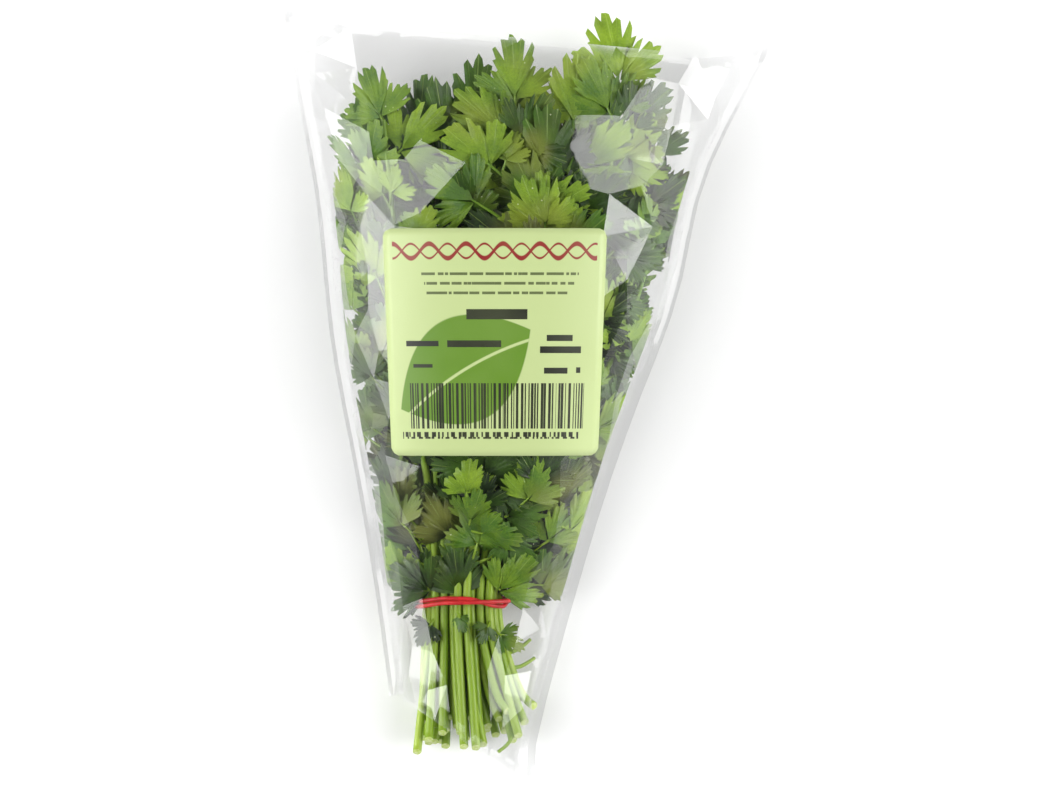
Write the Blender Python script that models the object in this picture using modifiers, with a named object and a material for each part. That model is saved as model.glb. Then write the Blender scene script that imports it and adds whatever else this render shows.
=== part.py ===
# A bunch of flat-leaf parsley, tied with a rubber band, in a clear tapered film sleeve with a paper label.
# It lies on its back: leaves towards +Y, cut stems towards -Y, the label and front panel facing +Z.
import math
import random

import bmesh
import bpy
from mathutils import Matrix, Vector
from mathutils.bvhtree import BVHTree

MM = 0.001


# Sleeve outline: each entry is a length along the bunch and the place of that side seam, in millimetres.
LEFT_SEAM = [(-140, -41), (-106, -45.5), (-72, -50), (-30, -57), (19, -66), (68, -71), (102, -77), (137, -83)]
RIGHT_SEAM = [(-138, -0.5), (-124, 0), (-111, 3), (-90, 8.5), (-42, 22.5), (-11, 33), (33, 49.5), (77, 60), (123, 83)]
# Height of the crown of the front panel and of the seams above the table.
CROWN_HEIGHT = [(-138, 20), (-120, 27.5), (-106, 28), (-72, 29), (-30, 40), (19, 50), (68, 53), (100, 51), (124, 42), (138, 36)]
SEAM_HEIGHT = [(-138, 6), (-72, 9), (19, 16), (68, 18), (100, 18), (138, 15)]
# How boxy the front panel is: 0 is a flat-cornered lens, 1 is a filled, square-shouldered pouch.
FULLNESS = [(-138, 0.7), (-100, 0.9), (-72, 0.9), (0, 1), (70, 1), (100, 0.7), (138, 0.05)]
LEFT_SEAM_SPAN = (-106, 137.4)
RIGHT_SEAM_SPAN = (-137.4, 123)
MOUTH_DIP = 6
FILM = 0.4
FILM_CLEARANCE = 1.2
SEAM_GAP = 0.6
SEAM_FIN = 3.2
SLEEVE_ROWS = 11
SLEEVE_COLUMNS = 10

# The bundle of stalks: middle and half width across, middle and half depth above the table.
BUNDLE_MIDDLE = [(-126, -18.5), (-72, -22.8), (-30, -18), (20, -9), (70, -6), (132, -4)]
BUNDLE_HALF_WIDTH = [(-126, 20), (-98, 16.4), (-72, 13.6), (-48, 17), (-10, 32), (30, 44), (70, 52), (132, 62)]
BUNDLE_LIFT = [(-126, 12), (-72, 13.2), (-30, 19), (20, 24), (70, 25.5), (132, 25)]
BUNDLE_HALF_DEPTH = [(-126, 8.8), (-98, 8.3), (-72, 8.1), (-48, 9.6), (-10, 14.5), (30, 18), (70, 19.5), (132, 18)]
TIE = -72
STALK_PITCH = 3.15
STALK_RADIUS = 1.32
STALK_TIP_RADIUS = 0.65
STALK_SIDES_LEVEL = 1
STALK_CLEARANCE = 0.12
STALK_KNOTS = (-104, -86, TIE, -56, -36, -8, 24, 56, 86)
LEAN_STEPS = 10

# Tips of the tall sprigs, across and along; the other sprigs are shorter and fill the pouch.
TALL_TIPS = [(33, 108), (-4, 101), (-18, 90), (16, 92), (-57, 87), (-50, 96), (-38, 88), (-27, 84),
             (44, 82), (47, 66), (7, 76), (-59, 62), (30, 46), (-10, 64), (24, 70), (-46, 60)]
FRONT_TIPS = [(-15, -18), (-33, -26), (-6, -12), (-23, -40)]
MIDDLE_TIPS = (18, 66)
SHORT_TIPS = (-18, 18)
MIDDLE_COUNT = 11
# Places of small low leaves that hang from front stalks below the band.
LOW_LEAVES = [(-33, -78), (-24, -76), (-14, -79), (-9, -82)]

# Thin side shoots near the cut ends: where each leaves its stalk, across and along, then its bends from there.
SHOOTS = [((-2, -91), [(4.5, 1.5, -1), (9, 5, -2)]),
          ((-2, -96), [(4.5, 0.5, -1), (9.5, 3.5, -2)]),
          ((-6, -103), [(2.6, -6, -0.4), (2.4, -13, 0.2), (0.8, -19, 1.2), (-3.2, -22.5, 2.2)])]
SHOOT_RADII = (0.85, 0.6)

# Leaflets: a three-lobed blade on its own side stalk.
LEAF_THICKNESS = 0.5
LEAF_STALK_HALF_WIDTH = 0.6
LEAF_ROOT_HALF_WIDTH = 0.4
LEAF_ROOT_DEPTH = 0.25
LEAF_CLEARANCE = 0.17
LEAF_TRIES = 110
LOBES = [(0.28, 0.30), (0.60, 0.50), (0.64, 0.20)]
SEED = 27

# Rubber band: one loop wound twice.
BAND_RADIUS = 0.72
BAND_WIND = 0.92
BAND_CLEARANCE = 2.1
BAND_STEPS = 38

LABEL_CENTRE = (-11.2, 18.5)
LABEL_WIDTH = (72, 78)
LABEL_LENGTH = 79
LABEL_THICKNESS = 0.3
LABEL_LIFT = 0.9
LABEL_CELLS = (8, 6)
LABEL_CORNER = 2.2

GREEN = (0.13, 0.26, 0.03, 1)
STEM_GREEN = (0.36, 0.5, 0.08, 1)


def along(table, place):
    """Smooth curve through a table of (place, value)."""
    last = len(table) - 1
    k = 0
    while k < last - 1 and place > table[k + 1][0]:
        k += 1
    (y0, a), (y1, b) = table[k], table[k + 1]
    before = table[max(k - 1, 0)]
    after = table[min(k + 2, last)]
    slope_a = (b - before[1]) / (y1 - before[0])
    slope_b = (after[1] - a) / (after[0] - y0)
    if place <= y0:
        return a + slope_a * (place - y0)
    if place >= y1:
        return b + slope_b * (place - y1)
    span = y1 - y0
    t = (place - y0) / span
    rise = t * t * (3 - 2 * t)
    bend_a = t * (1 - t) ** 2 * span * slope_a
    bend_b = t * t * (t - 1) * span * slope_b
    return a + (b - a) * rise + bend_a + bend_b


def smooth_step(low, high, value):
    t = min(1, max(0, (value - low) / (high - low)))
    return t * t * (3 - 2 * t)


# ---- sleeve surface ----
def bulge(share, place):
    """Height of the front panel between seam (0) and crown (1) at a share of the width."""
    edge = min(1, abs(2 * share - 1))
    full = along(FULLNESS, place)
    lens = (1 - edge ** 2) ** 1.25
    pouch = (1 - edge ** 3) ** 0.62
    return lens + (pouch - lens) * full


def front_height(share, place):
    seam = along(SEAM_HEIGHT, place)
    return seam + (along(CROWN_HEIGHT, place) - seam) * bulge(share, place)


def back_height(share, place):
    edge = min(1, abs(2 * share - 1))
    return along(SEAM_HEIGHT, place) * max(0, 1 - 1.5 * (1 - edge ** 3) ** 0.8)


def share_of(x, place):
    left = along(LEFT_SEAM, place)
    return (x - left) / (along(RIGHT_SEAM, place) - left)


def sleeve_place(row, share):
    """Length along the bunch of a row of the sleeve at a share of its width."""
    left = LEFT_SEAM_SPAN[0] + row * (LEFT_SEAM_SPAN[1] - LEFT_SEAM_SPAN[0])
    right = RIGHT_SEAM_SPAN[0] + row * (RIGHT_SEAM_SPAN[1] - RIGHT_SEAM_SPAN[0])
    dip = MOUTH_DIP * (1 - abs(2 * share - 1) ** 8) * row ** 5
    return left + (right - left) * share - dip


def sleeve_point(row, share, height_at):
    place = sleeve_place(row, share)
    left = along(LEFT_SEAM, place)
    x = left + (along(RIGHT_SEAM, place) - left) * share
    return Vector((x, place, height_at(share, place)))


def inside_sleeve(point, margin):
    for aside in (-margin, margin):
        share = share_of(point.x + aside, point.y)
        if not 0.02 < share < 0.98:
            return False
        if not back_height(share, point.y) + margin < point.z < front_height(share, point.y) - margin:
            return False
    return True


# ---- stalks ----
def tie_spots():
    """Places of the stalks in the tie, packed side by side, as shares of the bundle."""
    half_width = along(BUNDLE_HALF_WIDTH, TIE)
    half_depth = along(BUNDLE_HALF_DEPTH, TIE)
    spots = []
    for row in range(-3, 4):
        v = row * STALK_PITCH * math.sqrt(3) / 2
        for column in range(-6, 7):
            u = (column + 0.5 * (row % 2)) * STALK_PITCH
            if (u / (half_width + 0.3)) ** 2 + (v / (half_depth + 0.3)) ** 2 <= 1:
                spots.append((u / half_width, v / half_depth))
    return spots


def assign_tips(spots, chance):
    """Each spot gets a tip: the tall tips go to near free spots of the front half, in order along each row."""
    free = list(range(len(spots)))
    tips = {}
    for reach, wanted in ((1.2, FRONT_TIPS), (0.35, TALL_TIPS)):
        for across, up in wanted:
            middle = along(BUNDLE_MIDDLE, up)
            want = (across - middle) / along(BUNDLE_HALF_WIDTH, up)
            best = min(free, key=lambda k: abs(spots[k][0] - want) - reach * spots[k][1])
            tips[best] = (across, up)
            free.remove(best)
    for level in sorted({v for _, v in spots}):
        row = [k for k in sorted(tips) if spots[k][1] == level]
        for k, tip in zip(row, sorted(tips[k] for k in row)):
            tips[k] = tip
    chance.shuffle(free)
    for count, k in enumerate(free):
        low, high = MIDDLE_TIPS if count < MIDDLE_COUNT else SHORT_TIPS
        tips[k] = (None, chance.uniform(low, high))
    return tips


def stalk_route(spot, tip, end, sway, leaning):
    """Points and radii of one stalk from its cut end to its tip."""
    u, v = spot
    lean = 0
    if tip[0] is not None:
        plain = along(BUNDLE_MIDDLE, tip[1]) + along(BUNDLE_HALF_WIDTH, tip[1]) * u
        lean = (tip[0] - plain) * leaning
    places = [end, *(place for place in STALK_KNOTS if place < tip[1] - 9), tip[1]]
    route = []
    for place in places:
        ramp = smooth_step(TIE + 10, tip[1] + 1, place)
        x = along(BUNDLE_MIDDLE, place) + along(BUNDLE_HALF_WIDTH, place) * u + lean * ramp
        x += sway * smooth_step(TIE, -130, place)
        z = along(BUNDLE_LIFT, place) + along(BUNDLE_HALF_DEPTH, place) * v
        thick = smooth_step(TIE + 20, tip[1] + 20, place)
        radius = STALK_RADIUS + (STALK_TIP_RADIUS - STALK_RADIUS) * thick
        route.append((Vector((x, place, z)), radius))
    return route


def shoot_routes(routes):
    """Side shoots with the number of the stalk that each one grows from."""
    shoots = []
    for (across, place), bends in SHOOTS:
        roots = [route_point(route, place) for route in routes]
        k = min(range(len(routes)), key=lambda n: abs(roots[n].x - across) - 0.3 * roots[n].z)
        points = [roots[k]] + [roots[k] + Vector(bend) for bend in bends]
        thick, thin = SHOOT_RADII
        radii = [thick + (thin - thick) * n / len(bends) for n in range(len(points))]
        shoot = list(zip(points, radii))
        tree = BVHTree.FromPolygons(*tube_faces(sorted(shoot, key=lambda bend: bend[0].y), STALK_CLEARANCE))
        for j, route in enumerate(routes):
            if j != k and tree.overlap(BVHTree.FromPolygons(*tube_faces(route, STALK_CLEARANCE))):
                print("shoot of stalk", k + 1, "touches stalk", j + 1)
        shoots.append((k, shoot))
    return shoots


def route_point(route, place):
    for (a, _), (b, _) in zip(route, route[1:]):
        if a.y <= place <= b.y:
            return a.lerp(b, (place - a.y) / (b.y - a.y))
    return route[-1][0] if place > route[-1][0].y else route[0][0]


def tube_faces(route, spare):
    """Simple closed prism around a route, grown by the spare distance, for the clearance tests."""
    points = []
    faces = []
    for k, (centre, radius) in enumerate(route):
        grown = (radius + spare) / math.cos(math.pi / 8)
        for step in range(8):
            turn = math.pi / 4 * step
            points.append(centre + Vector((grown * math.cos(turn), 0, grown * math.sin(turn))))
        if k:
            base = 8 * k
            for step in range(8):
                after = (step + 1) % 8
                faces.append((base - 8 + step, base - 8 + after, base + after, base + step))
    return points, faces


# ---- leaflets ----
def leaf_outline(leaf, grow):
    """Outline of the side stalk and blade in the leaf's own plane, grown outwards."""
    size = leaf["size"]
    root = -leaf["stalk"] - LEAF_ROOT_DEPTH
    side = [(root, LEAF_ROOT_HALF_WIDTH + grow), (0, LEAF_STALK_HALF_WIDTH + grow)]
    side += [(a * size, b * size + grow) for a, b in LOBES]
    outline = side + [(size + grow, 0)]
    outline += [(a, -b) for a, b in reversed(side)]
    return outline


def leaf_frame(leaf):
    forward = leaf["forward"].normalized()
    flat = leaf["facing"] - forward * leaf["facing"].dot(forward)
    up = flat.normalized()
    side = up.cross(forward)
    frame = Matrix((forward, side, up)).transposed().to_4x4()
    frame.translation = leaf["base"] + forward * leaf["stalk"]
    return frame


def leaf_tree(leaf, grow, from_blade):
    """Closed plate of one leaf, grown by the clearance, as a tree for overlap tests."""
    frame = leaf_frame(leaf)
    outline = leaf_outline(leaf, grow)
    if from_blade:
        outline = outline[1:-1]
    half = LEAF_THICKNESS / 2 + grow
    count = len(outline)
    points = [frame @ Vector((a, b, half)) for a, b in outline]
    points += [frame @ Vector((a, b, -half)) for a, b in outline]
    middle = [frame @ Vector((leaf["size"] * 0.3, 0, half)), frame @ Vector((leaf["size"] * 0.3, 0, -half))]
    points += middle
    faces = []
    for k in range(count):
        after = (k + 1) % count
        faces.append((k, after, 2 * count))
        faces.append((count + after, count + k, 2 * count + 1))
        faces.append((k, count + k, count + after))
        faces.append((k, count + after, after))
    return BVHTree.FromPolygons(points, faces), points


def leaf_wishes(route, tip, chance):
    """Where the leaves of one sprig want to sit: a top leaf and pairs below it."""
    wishes = [dict(place=tip[1], side=0, stalk=3, size=chance.uniform(23, 28), spread=0)]
    place = tip[1] - chance.uniform(12, 16)
    pairs = 4 if tip[1] > 40 else 3
    for pair in range(pairs):
        for side in (-1, 1):
            stalk = 4 + 5.5 * pair * chance.uniform(0.7, 1.1)
            size = chance.uniform(20, 26)
            spread = chance.uniform(0.6, 1.0)
            node = place - 1.0 * side
            wishes.append(dict(place=node, side=side, stalk=stalk, size=size, spread=spread))
        place -= chance.uniform(13, 20)
        if place < TIE + 12:
            break
    return wishes


def try_leaf(wish, route, depth, chance, attempt):
    """One candidate pose for a wished leaf; later attempts stray further."""
    stray = min(1.3, 0.2 + attempt / 50)
    base = route_point(route, wish["place"] - 2.5 * (wish["side"] == 0))
    below = route_point(route, wish["place"] - 12)
    axis = (base - below).normalized()
    turn = wish["side"] * wish["spread"] + chance.uniform(-0.5, 0.5) * stray
    tilt = chance.uniform(-0.45, 0.45) * stray + 0.16 * depth
    forward = Matrix.Rotation(-turn, 3, "Z") @ axis
    forward = (forward + Vector((0, 0, tilt))).normalized()
    roll = chance.uniform(-0.7, 0.7) * stray
    facing = Matrix.Rotation(roll, 3, forward) @ Vector((0, 0, 1))
    size = wish["size"] * (1 - 0.4 * attempt / LEAF_TRIES)
    stalk = wish["stalk"] * (1 - 0.5 * attempt / LEAF_TRIES)
    return dict(base=base, forward=forward, facing=facing, size=size, stalk=stalk)


def place_leaves(routes, shoots, tips, depths, order):
    """Leaves of every sprig, each clear of all other sprigs and of the film."""
    chance = random.Random(SEED + 1)
    owned = list(enumerate(routes)) + shoots
    tubes = [(k, BVHTree.FromPolygons(*tube_faces(route, LEAF_CLEARANCE))) for k, route in owned]
    placed = []
    leaves = [[] for _ in routes]
    missed = 0
    for rank in range(max(len(tip[2]) for tip in tips.values())):
        for k in order:
            wishes = tips[k][2]
            if rank >= len(wishes):
                continue
            wish = wishes[rank]
            done = False
            for attempt in range(LEAF_TRIES):
                leaf = try_leaf(wish, routes[k], depths[k], chance, attempt)
                tree, points = leaf_tree(leaf, LEAF_CLEARANCE, False)
                if not all(inside_sleeve(point, FILM_CLEARANCE) for point in points):
                    continue
                if any(j != k and tree.overlap(other) for j, other in tubes):
                    continue
                middle = leaf_frame(leaf) @ Vector((leaf["size"] * 0.4, 0, 0))
                reach = leaf["size"] + leaf["stalk"]
                clear = True
                for owner, centre, size, other, blade in placed:
                    if (centre - middle).length > reach + size:
                        continue
                    if tree.overlap(blade if owner == k else other):
                        clear = False
                        break
                if clear:
                    blade = leaf_tree(leaf, 0.2, True)[0]
                    placed.append((k, middle, reach, tree, blade))
                    leaves[k].append(leaf)
                    done = True
                    break
            missed += not done
    print("leaves placed", len(placed), "left out", missed)
    return leaves


def lay_stalks(spots, tips, chance):
    """Routes of all stalks; a stalk leans towards its tip only as far as its neighbours leave room."""
    routes = [None] * len(spots)
    trees = []
    for k in sorted(range(len(spots)), key=lambda n: tips[n][0] is not None):
        reach = spots[k][0]
        end = -119 - 4.5 * chance.random() + 13 * max(0, reach) ** 2 * chance.uniform(0.7, 1.2)
        sway = chance.uniform(-0.5, 0.5)
        for step in range(2 * LEAN_STEPS):
            leaning = 1 - step / LEAN_STEPS
            route = stalk_route(spots[k], tips[k], end, sway * leaning, leaning)
            tree = BVHTree.FromPolygons(*tube_faces(route, STALK_CLEARANCE))
            if not any(tree.overlap(other) for other in trees):
                break
        else:
            print("stalk", k + 1, "touches a neighbour")
        trees.append(tree)
        routes[k] = route
    return routes


def plan_bunch():
    """Routes of all stalks, with their side shoots and leaves."""
    chance = random.Random(SEED)
    spots = tie_spots()
    tips = assign_tips(spots, chance)
    routes = lay_stalks(spots, tips, chance)
    for k in range(len(spots)):
        tips[k] = (tips[k][0], tips[k][1], leaf_wishes(routes[k], tips[k], chance))
    for count, (across, place) in enumerate(LOW_LEAVES):
        fronts = [route_point(route, place) for route in routes]
        k = min(range(len(routes)), key=lambda n: abs(fronts[n].x - across) - 1.5 * fronts[n].z)
        side = 1 if count % 2 else -1
        tips[k][2].insert(1, dict(place=place, side=side, stalk=2.5, size=13, spread=2.2))
    order = sorted(range(len(spots)), key=lambda k: (tips[k][0] is None, -spots[k][1]))
    shoots = shoot_routes(routes)
    leaves = place_leaves(routes, shoots, tips, [spot[1] for spot in spots], order)
    return routes, shoots, leaves


# ---- objects ----
def new_collection(name):
    collection = bpy.data.collections.new(name)
    bpy.context.scene.collection.children.link(collection)
    return collection


def plain_material(name, color, roughness, metallic=0.0):
    material = bpy.data.materials.new(name)
    material.use_nodes = True
    shader = material.node_tree.nodes["Principled BSDF"]
    shader.inputs["Base Color"].default_value = color
    shader.inputs["Roughness"].default_value = roughness
    shader.inputs["Metallic"].default_value = metallic
    return material


def curve_object(name, collection, dimensions):
    curve = bpy.data.curves.new(name, "CURVE")
    curve.dimensions = dimensions
    thing = bpy.data.objects.new(name, curve)
    collection.objects.link(thing)
    return thing


def stalk_curve(name, route, collection):
    thing = curve_object(name, collection, "3D")
    thing.data.bevel_depth = MM
    thing.data.bevel_resolution = STALK_SIDES_LEVEL
    thing.data.use_fill_caps = True
    spline = thing.data.splines.new("POLY")
    spline.points.add(len(route) - 1)
    for point, (centre, radius) in zip(spline.points, route):
        point.co = (*(centre * MM), 1)
        point.radius = radius
    return thing


def leaf_curve(name, leaf, collection):
    thing = curve_object(name, collection, "2D")
    thing.data.fill_mode = "BOTH"
    thing.data.extrude = LEAF_THICKNESS / 2 * MM
    outline = leaf_outline(leaf, 0)
    spline = thing.data.splines.new("POLY")
    spline.points.add(len(outline) - 1)
    for point, (a, b) in zip(spline.points, outline):
        point.co = (a * MM, b * MM, 0, 1)
    spline.use_cyclic_u = True
    frame = leaf_frame(leaf)
    frame.translation *= MM
    thing.matrix_world = frame
    return thing


def mesh_from(thing, collection):
    """The evaluated shape of an object as a closed mesh object of its own, in place of the first one."""
    graph = bpy.context.evaluated_depsgraph_get()
    mesh = bpy.data.meshes.new_from_object(thing.evaluated_get(graph))
    name = thing.name
    place = thing.matrix_world.copy()
    bpy.data.objects.remove(thing)
    mesh.transform(place)
    shape = bmesh.new()
    shape.from_mesh(mesh)
    bmesh.ops.remove_doubles(shape, verts=shape.verts, dist=1e-6)
    bmesh.ops.recalc_face_normals(shape, faces=shape.faces)
    shape.to_mesh(mesh)
    shape.free()
    solid = bpy.data.objects.new(name, mesh)
    collection.objects.link(solid)
    return solid


def make_sprigs(routes, shoots, leaves, parts, cutters, material):
    stalks = [stalk_curve("sprig_%02d" % (k + 1), route, parts) for k, route in enumerate(routes)]
    blades = []
    for k, row in enumerate(leaves):
        blades.append([leaf_curve("leaf_%02d_%d" % (k + 1, n), leaf, cutters) for n, leaf in enumerate(row)])
    for k, shoot in shoots:
        blades[k].append(stalk_curve("shoot_%02d" % (k + 1), shoot, cutters))
    bpy.context.view_layer.update()
    solids = [mesh_from(stalk, parts) for stalk in stalks]
    plates = [[mesh_from(blade, cutters) for blade in row] for row in blades]
    for solid, row in zip(solids, plates):
        for plate in row:
            join = solid.modifiers.new("leaf", "BOOLEAN")
            join.operation = "UNION"
            join.solver = "EXACT"
            join.object = plate
    bpy.context.view_layer.update()
    for solid in solids:
        whole = mesh_from(solid, parts)
        whole.name = whole.name.split(".")[0]
        whole.data.materials.clear()
        whole.data.materials.append(material)
    for row in plates:
        for plate in row:
            bpy.data.objects.remove(plate)


def section_loops(row):
    """Outer and inner loop of the sleeve at one row, front panel first, then the back panel."""
    shares = [0.5 - 0.5 * math.cos(math.pi * k / SLEEVE_COLUMNS) for k in range(SLEEVE_COLUMNS + 1)]
    front = [sleeve_point(row, share, front_height) for share in shares]
    back = [sleeve_point(row, share, back_height) for share in shares]
    ends = []
    for end, sign in ((-1, 1), (0, -1)):
        seam = front[end].copy()
        front[end].z = seam.z + SEAM_GAP
        back[end].z = seam.z - SEAM_GAP
        tip = seam + Vector((sign * SEAM_FIN, 0, 0))
        ends.append([tip + Vector((0, 0, 0.3)), tip - Vector((0, 0, 0.3))])
    inner_front = offset_inwards(front, -1)
    inner_back = offset_inwards(back, 1)
    for end, sign in ((-1, 1), (0, -1)):
        seam = (front[end] + back[end]) / 2
        inner_front[end] = seam + Vector((-sign * 0.35, 0, 0.2))
        inner_back[end] = seam + Vector((-sign * 0.35, 0, -0.2))
    right, left = ends
    outer = front + right + back[::-1] + left[::-1]
    inner = inner_front + inner_back[::-1]
    return outer, inner


def offset_inwards(points, sign):
    """Points moved by the film thickness, square to the section line."""
    moved = []
    for k, point in enumerate(points):
        before = points[max(k - 1, 0)]
        after = points[min(k + 1, len(points) - 1)]
        run = after - before
        normal = Vector((-run.z, 0, run.x)).normalized()
        moved.append(point + normal * sign * FILM)
    return moved


def make_sleeve(parts, material):
    shape = bmesh.new()
    outers = []
    inners = []
    for row in range(SLEEVE_ROWS + 1):
        outer, inner = section_loops(row / SLEEVE_ROWS)
        outers.append([shape.verts.new(point * MM) for point in outer])
        inners.append([shape.verts.new(point * MM) for point in inner])
    for loops in (outers, inners):
        for low, high in zip(loops, loops[1:]):
            count = len(low)
            for k in range(count):
                after = (k + 1) % count
                shape.faces.new((low[k], low[after], high[after], high[k]))
    width = SLEEVE_COLUMNS + 1
    for outer, inner in ((outers[0], inners[0]), (outers[-1], inners[-1])):
        for k in range(SLEEVE_COLUMNS):
            shape.faces.new((outer[k], outer[k + 1], inner[k + 1], inner[k]))
            far = width + 2 + k
            near = width + k
            shape.faces.new((outer[far], outer[far + 1], inner[near + 1], inner[near]))
        right = (outer[width - 1], outer[width], outer[width + 1], outer[width + 2], inner[width], inner[width - 1])
        left = (outer[-3], outer[-2], outer[-1], outer[0], inner[0], inner[-1])
        shape.faces.new(right)
        shape.faces.new(left)
    bmesh.ops.recalc_face_normals(shape, faces=shape.faces)
    finish_mesh("sleeve", shape, parts, material)


def finish_mesh(name, shape, parts, material):
    mesh = bpy.data.meshes.new(name)
    shape.to_mesh(mesh)
    shape.free()
    mesh.materials.append(material)
    thing = bpy.data.objects.new(name, mesh)
    parts.objects.link(thing)
    return thing


def make_label(parts, material):
    """Thin rounded square that follows the front panel."""
    across, down = LABEL_CELLS
    shape = bmesh.new()
    bmesh.ops.create_grid(shape, x_segments=across, y_segments=down, size=0.5)
    for vert in shape.verts:
        u, v = vert.co.x, vert.co.y
        width = LABEL_WIDTH[0] + (LABEL_WIDTH[1] - LABEL_WIDTH[0]) * (v + 0.5)
        x = LABEL_CENTRE[0] + u * width
        y = LABEL_CENTRE[1] + v * LABEL_LENGTH
        if abs(abs(u) - 0.5) < 1e-4 and abs(abs(v) - 0.5) < 1e-4:
            x -= math.copysign(LABEL_CORNER * 0.4, u)
            y -= math.copysign(LABEL_CORNER * 0.4, v)
        height = front_height(share_of(x, y), y) + LABEL_LIFT
        vert.co = Vector((x, y, height)) * MM
    label = finish_mesh("label", shape, parts, material)
    shell = label.modifiers.new("thickness", "SOLIDIFY")
    shell.thickness = LABEL_THICKNESS * MM
    shell.offset = 1


def make_band(parts, material):
    """One rubber loop wound twice round the stalks; the two winds pass over each other on the right."""
    thing = curve_object("rubber_band", parts, "3D")
    thing.data.bevel_depth = BAND_RADIUS * MM
    thing.data.bevel_resolution = STALK_SIDES_LEVEL
    spline = thing.data.splines.new("POLY")
    spline.points.add(BAND_STEPS - 1)
    half_width = along(BUNDLE_HALF_WIDTH, TIE) + STALK_RADIUS + BAND_CLEARANCE
    half_depth = along(BUNDLE_HALF_DEPTH, TIE) + STALK_RADIUS + BAND_CLEARANCE
    middle = Vector((along(BUNDLE_MIDDLE, TIE), TIE, along(BUNDLE_LIFT, TIE)))
    for k, point in enumerate(spline.points):
        turn = 4 * math.pi * k / BAND_STEPS
        grow = BAND_WIND * math.sin(turn / 2 + math.pi / 2)
        x = (half_width + grow) * math.cos(turn)
        y = BAND_WIND * math.cos(turn / 2 + math.pi / 2)
        z = (half_depth + grow) * math.sin(turn)
        point.co = (*((middle + Vector((x, y, z))) * MM), 1)
    spline.use_cyclic_u = True
    bpy.context.view_layer.update()
    solid = mesh_from(thing, parts)
    solid.name = "rubber_band"
    solid.data.materials.clear()
    solid.data.materials.append(material)


def main():
    for thing in list(bpy.data.objects):
        bpy.data.objects.remove(thing)
    parts = new_collection("parsley_bunch")
    cutters = new_collection("cutters")
    leaf = plain_material("parsley_green", GREEN, 0.5)
    film = plain_material("clear_film", (0.86, 0.88, 0.86, 1), 0.08)
    paper = plain_material("label_paper", (0.62, 0.72, 0.4, 1), 0.45)
    rubber = plain_material("red_rubber", (0.68, 0.04, 0.04, 1), 0.5)
    routes, shoots, leaves = plan_bunch()
    make_sprigs(routes, shoots, leaves, parts, cutters, leaf)
    make_sleeve(parts, film)
    make_label(parts, paper)
    make_band(parts, rubber)


main()
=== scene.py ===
# A bunch of flat-leaf parsley, tied with a rubber band, in a clear tapered sleeve with a paper label.
# It lies on its back: leaves towards +Y, cut stems towards -Y, the label and the front panel facing up.
import math
import random

import bmesh
import bpy
from mathutils import Matrix, Vector, noise
from mathutils.bvhtree import BVHTree


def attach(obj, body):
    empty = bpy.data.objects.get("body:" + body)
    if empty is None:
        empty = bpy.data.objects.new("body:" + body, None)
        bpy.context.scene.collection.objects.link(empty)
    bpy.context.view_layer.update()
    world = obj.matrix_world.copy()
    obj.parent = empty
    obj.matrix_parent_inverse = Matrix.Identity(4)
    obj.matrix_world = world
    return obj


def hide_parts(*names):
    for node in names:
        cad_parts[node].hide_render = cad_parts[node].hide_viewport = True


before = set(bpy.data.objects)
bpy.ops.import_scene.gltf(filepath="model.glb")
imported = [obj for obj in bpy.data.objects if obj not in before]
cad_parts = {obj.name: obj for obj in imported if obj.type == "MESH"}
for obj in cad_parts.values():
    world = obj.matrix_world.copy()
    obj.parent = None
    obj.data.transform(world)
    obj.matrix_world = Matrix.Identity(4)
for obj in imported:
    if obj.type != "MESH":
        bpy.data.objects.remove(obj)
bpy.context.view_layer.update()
mm = 0.001
print("frame loaded:", len(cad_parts), "nodes")

# The camera, straight above.
cameraView = {"aim": (0.0, 0.0005), "level": 0.03, "width": 0.3689, "distance": 2.4, "film": 36}


def makeCamera():
    lens = bpy.data.cameras.new("camera")
    lens.sensor_width = cameraView["film"]
    lens.lens = cameraView["film"] * cameraView["distance"] / cameraView["width"]
    lens.clip_end = 20
    camera = bpy.data.objects.new("camera", lens)
    x, y = cameraView["aim"]
    camera.location = (x, y, cameraView["level"] + cameraView["distance"])
    bpy.context.scene.collection.objects.link(camera)
    bpy.context.scene.camera = camera


makeCamera()

# The plan of the bunch, in millimetres: the same sleeve, stalks and leaves as the solid model.
sleeve = {
    "leftSeam": [(-140, -41), (-106, -45.5), (-72, -50), (-30, -57), (19, -66), (68, -71), (102, -77),
                 (137, -83)],
    "rightSeam": [(-138, -0.5), (-124, 0), (-111, 3), (-90, 8.5), (-42, 22.5), (-11, 33), (33, 49.5), (77, 60),
                  (123, 83)],
    "crownHeight": [(-138, 20), (-120, 27.5), (-106, 28), (-72, 29), (-30, 40), (19, 50), (68, 53), (100, 51),
                    (124, 42), (138, 36)],
    "seamHeight": [(-138, 6), (-72, 9), (19, 16), (68, 18), (100, 18), (138, 15)],
    "fullness": [(-138, 0.7), (-100, 0.9), (-72, 0.9), (0, 1), (70, 1), (100, 0.7), (138, 0.05)],
    "leftSpan": (-106, 137.4), "rightSpan": (-137.4, 123), "mouthDip": 6, "leafGap": 1.2,
}
bundle = {
    "middle": [(-126, -18.5), (-72, -22.8), (-30, -18), (20, -9), (70, -6), (132, -4)],
    "halfWidth": [(-126, 20), (-98, 16.4), (-72, 13.6), (-48, 17), (-10, 32), (30, 44), (70, 52), (132, 62)],
    "lift": [(-126, 12), (-72, 13.2), (-30, 19), (20, 24), (70, 25.5), (132, 25)],
    "halfDepth": [(-126, 8.8), (-98, 8.3), (-72, 8.1), (-48, 9.6), (-10, 14.5), (30, 18), (70, 19.5),
                  (132, 18)],
    "tie": -72, "knots": (-104, -86, -72, -56, -36, -8, 24, 56, 86), "leanSteps": 10,
}
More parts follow.
